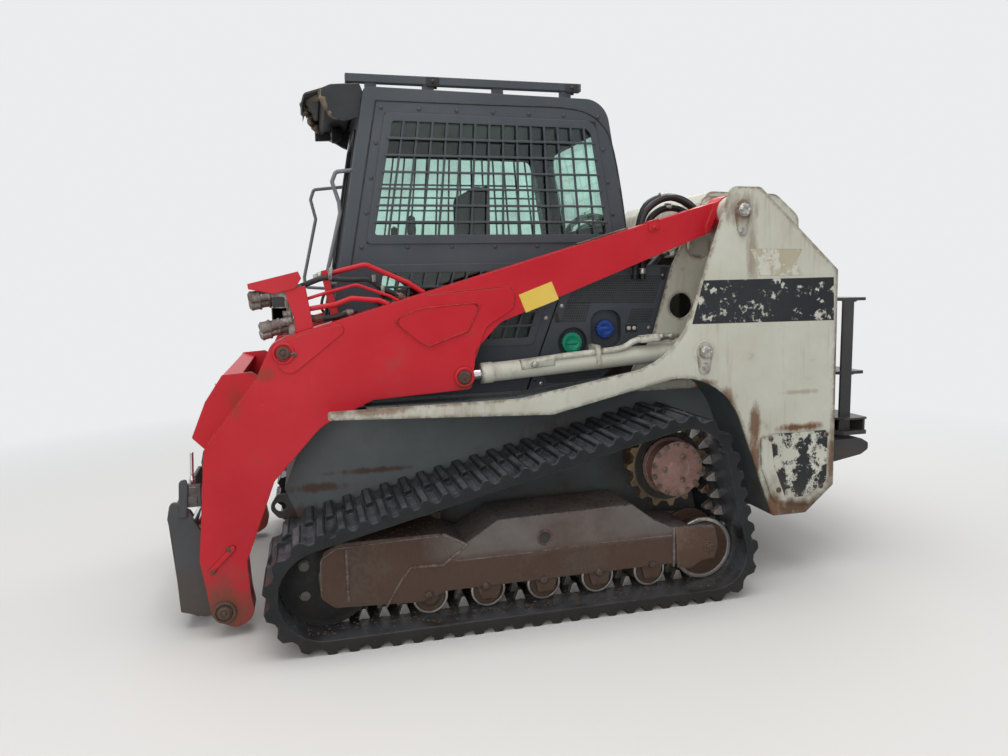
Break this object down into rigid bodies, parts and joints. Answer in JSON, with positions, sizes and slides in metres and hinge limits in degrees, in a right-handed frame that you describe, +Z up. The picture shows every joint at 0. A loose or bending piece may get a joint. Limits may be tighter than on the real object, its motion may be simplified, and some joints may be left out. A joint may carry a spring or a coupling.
{
  "type": "compact track loader",
  "caption": "Compact track loader with lift arms, tilting attachment coupler, enclosed cab and rubber tracks, parked with its arms down.",
  "frame": {"origin": "on the ground below the middle of the bounding box", "axes": "+X forward, +Y to the machine's left, +Z up"},
  "size_m": [3.464, 1.98, 2.4],
  "materials": {
    "red_paint": "worn gloss",
    "offwhite_paint": "weathered satin",
    "dark_paint": "dusty satin",
    "muddy_paint": "mud and rust over paint",
    "track_rubber": "matte, worn",
    "worn_steel": "rusty with bright wear",
    "glass": "clear, greenish",
    "black_plastic": "matte",
    "seat_cover": "matte",
    "engine_iron": "painted casting",
    "cooler_core": "dull fins",
    "lamp_body": "matte with clear lens",
    "hose_rubber": "satin",
    "chrome_rod": "polished",
    "plated_fittings": "plated"
  },
  "bodies": {
    "chassis": {"bumper_rear": "dark_paint", "cab_back": "dark_paint", "cab_floor": "dark_paint", "cab_front": "dark_paint", "cab_glass": "glass", "cab_roof": "dark_paint", "cab_sides": "dark_paint", "control_consoles": "black_plastic", "cooler": "cooler_core", "door_hinges": "dark_paint", "engine": "engine_iron", "fenders": "dark_paint", "filler_caps": "black_plastic", "front_door": "dark_paint", "grab_handles": "dark_paint", "hood_hinges": "dark_paint", "hose_arches": "hose_rubber", "idlers": "worn_steel", "main_frame": "dark_paint", "roof_rails": "dark_paint", "seat": "seat_cover", "side_panels": "offwhite_paint", "sprockets": "worn_steel", "tower_pins": "worn_steel", "towers": "offwhite_paint", "track_frames": "muddy_paint", "track_left": "track_rubber", "track_right": "track_rubber", "track_rollers": "worn_steel", "visor": "black_plastic", "window_guards": "dark_paint", "work_lamps": "lamp_body"},
    "lift_arms": {"arms": "red_paint", "arm_pins": "worn_steel", "arm_cross": "red_paint", "aux_couplers": "plated_fittings", "arm_pipes": "plated_fittings"},
    "coupler": {"coupler_frame": "dark_paint", "lock_levers": "worn_steel"},
    "rear_door": {"rear_door": "dark_paint"},
    "hood": {"hood": "offwhite_paint"},
    "lift_barrel_left": {"lift_barrel_left": "offwhite_paint"},
    "lift_rod_left": {"lift_rod_left": "chrome_rod"},
    "tilt_barrel_left": {"tilt_barrel_left": "dark_paint"},
    "tilt_rod_left": {"tilt_rod_left": "chrome_rod"},
    "lift_barrel_right": {"lift_barrel_right": "offwhite_paint"},
    "lift_rod_right": {"lift_rod_right": "chrome_rod"},
    "tilt_barrel_right": {"tilt_barrel_right": "dark_paint"},
    "tilt_rod_right": {"tilt_rod_right": "chrome_rod"}
  },
  "joints": [
    {"name": "arm_lift", "type": "hinge", "parent": "chassis", "child": "lift_arms", "pos_m": [-0.864, 0, 1.788], "axis": [0, -1, 0], "range_deg": [0, 64.5]},
    {"name": "coupler_tilt", "type": "hinge", "parent": "lift_arms", "child": "coupler", "pos_m": [1.509, 0, 0.113], "axis": [0, 1, 0], "range_deg": [-20, 90]},
    {"name": "rear_door_swing", "type": "hinge", "parent": "chassis", "child": "rear_door", "pos_m": [-1.445, -0.56, 0], "axis": [0, 0, 1], "range_deg": [0, 90]},
    {"name": "hood_open", "type": "hinge", "parent": "chassis", "child": "hood", "pos_m": [-0.7, 0, 1.61], "axis": [0, 1, 0], "range_deg": [0, 60]},
    {"name": "lift_barrel_turn_left", "type": "hinge", "parent": "chassis", "child": "lift_barrel_left", "pos_m": [-0.679, 0.642, 1.137], "axis": [0, -1, 0], "range_deg": [0, 59.73]},
    {"name": "lift_rod_slide_left", "type": "slide", "parent": "lift_barrel_left", "child": "lift_rod_left", "axis": [0.998, 0, -0.0639], "range_m": [0, 0.7134]},
    {"name": "lift_barrel_turn_right", "type": "hinge", "parent": "chassis", "child": "lift_barrel_right", "pos_m": [-0.679, -0.642, 1.137], "axis": [0, -1, 0], "range_deg": [0, 59.73]},
    {"name": "lift_rod_slide_right", "type": "slide", "parent": "lift_barrel_right", "child": "lift_rod_right", "axis": [0.998, 0, -0.0639], "range_m": [0, 0.7134]},
    {"name": "tilt_barrel_turn_left", "type": "hinge", "parent": "lift_arms", "child": "tilt_barrel_left", "pos_m": [1.211, 0.492, 1.204], "axis": [0, -1, 0], "range_deg": [-0.15, 0.55]},
    {"name": "tilt_rod_slide_left", "type": "slide", "parent": "tilt_barrel_left", "child": "tilt_rod_left", "axis": [0.4839, 0, -0.8751], "range_m": [-0.108, 0.479]},
    {"name": "tilt_barrel_turn_right", "type": "hinge", "parent": "lift_arms", "child": "tilt_barrel_right", "pos_m": [1.211, -0.492, 1.204], "axis": [0, -1, 0], "range_deg": [-0.15, 0.55]},
    {"name": "tilt_rod_slide_right", "type": "slide", "parent": "tilt_barrel_right", "child": "tilt_rod_right", "axis": [0.4839, 0, -0.8751], "range_m": [-0.108, 0.479]}
  ],
  "couplings": [
    {"joint": "lift_barrel_turn_left", "follows": "arm_lift", "ratio": 0.923},
    {"joint": "lift_rod_slide_left", "follows": "arm_lift", "m_per_rad": 0.63197},
    {"joint": "lift_barrel_turn_right", "follows": "arm_lift", "ratio": 0.923},
    {"joint": "lift_rod_slide_right", "follows": "arm_lift", "m_per_rad": 0.63197},
    {"joint": "tilt_barrel_turn_left", "follows": "coupler_tilt", "ratio": 0.0056},
    {"joint": "tilt_rod_slide_left", "follows": "coupler_tilt", "m_per_rad": 0.30367},
    {"joint": "tilt_barrel_turn_right", "follows": "coupler_tilt", "ratio": 0.0056},
    {"joint": "tilt_rod_slide_right", "follows": "coupler_tilt", "m_per_rad": 0.30367}
  ]
}
